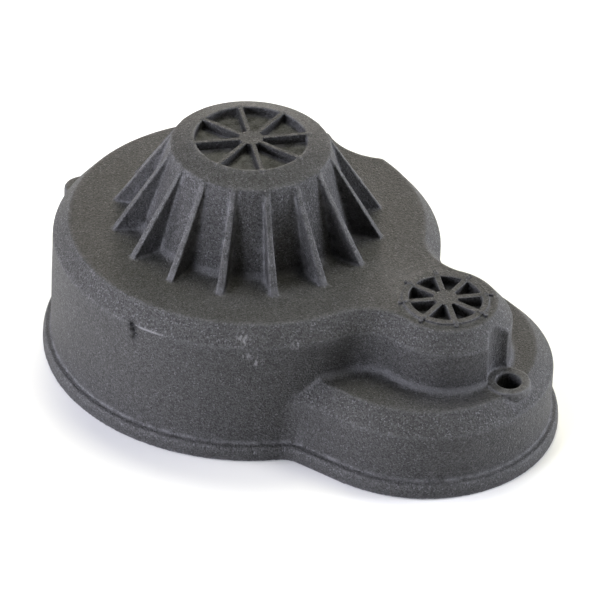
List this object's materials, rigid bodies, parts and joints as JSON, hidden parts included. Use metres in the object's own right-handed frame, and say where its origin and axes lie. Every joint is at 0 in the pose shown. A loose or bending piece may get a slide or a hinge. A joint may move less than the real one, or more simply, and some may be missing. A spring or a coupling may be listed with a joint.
{
  "type": "gear housing with slipper clutch",
  "caption": "Scroll-shaped moulded gear cover with a finned cone and pinion bulge over a motor plate, with its spring-loaded slipper clutch, spur gear, shaft bearing and pinion.",
  "frame": {"origin": "on the clutch shaft's axis, in the plane of the cover's lip and the motor plate's underside", "axes": "+Z along the clutch shaft, out through the finned cone; +X from the clutch shaft to the pinion"},
  "size_m": [0.0749, 0.0564, 0.0314],
  "materials": {
    "moulded_nylon": "fine moulded grain, scuffed with use",
    "plate_aluminium": "brushed",
    "steel": "turned",
    "bearing_steel": "ground",
    "black_steel": "black oxide",
    "brass": "turned",
    "gear_nylon": "moulded",
    "friction": "pressed fibre",
    "blue_anodised": "anodised satin",
    "grey_anodised": "hard anodised",
    "nut_nylon": "smooth"
  },
  "bodies": {
    "plate": {"motor_plate": "plate_aluminium", "press_nuts": "brass", "bearing_outer_ring": "bearing_steel", "bearing_shields": "bearing_steel", "bearing_circlip": "black_steel"},
    "cover": {"gear_cover": "moulded_nylon"},
    "spur": {"spur_gear": "gear_nylon", "spur_bush": "brass", "friction_pegs": "friction"},
    "clutch": {"clutch_shaft": "steel", "bearing_inner_ring": "bearing_steel", "shim_washer": "steel", "cross_pin": "black_steel", "drive_plate": "grey_anodised", "pressure_plate": "blue_anodised", "thrust_washer": "steel", "clutch_spring": "steel", "spring_cup": "steel", "lock_nut": "steel", "nut_insert": "nut_nylon"},
    "balls": {"bearing_balls": "bearing_steel", "ball_cage": "brass"},
    "pinion": {"pinion_gear": "steel", "grub_screw": "black_steel"}
  },
  "joints": [
    {"name": "cover_lift", "type": "slide", "parent": "plate", "child": "cover", "axis": [0, 0, 1], "range_m": [0, 0.04]},
    {"name": "spur_spin", "type": "hinge", "parent": "plate", "child": "spur", "pos_m": [0, 0, 0], "axis": [0, 0, 1], "continuous": true},
    {"name": "clutch_spin", "type": "hinge", "parent": "plate", "child": "clutch", "pos_m": [0, 0, 0], "axis": [0, 0, 1], "continuous": true},
    {"name": "ball_roll", "type": "hinge", "parent": "plate", "child": "balls", "pos_m": [0, 0, 0], "axis": [0, 0, 1], "continuous": true},
    {"name": "pinion_spin", "type": "hinge", "parent": "plate", "child": "pinion", "pos_m": [0.02857, 0, 0], "axis": [0, 0, 1], "continuous": true}
  ],
  "couplings": [
    {"joint": "clutch_spin", "follows": "spur_spin", "ratio": 1},
    {"joint": "ball_roll", "follows": "spur_spin", "ratio": 0.4133},
    {"joint": "pinion_spin", "follows": "spur_spin", "ratio": -3.32}
  ]
}
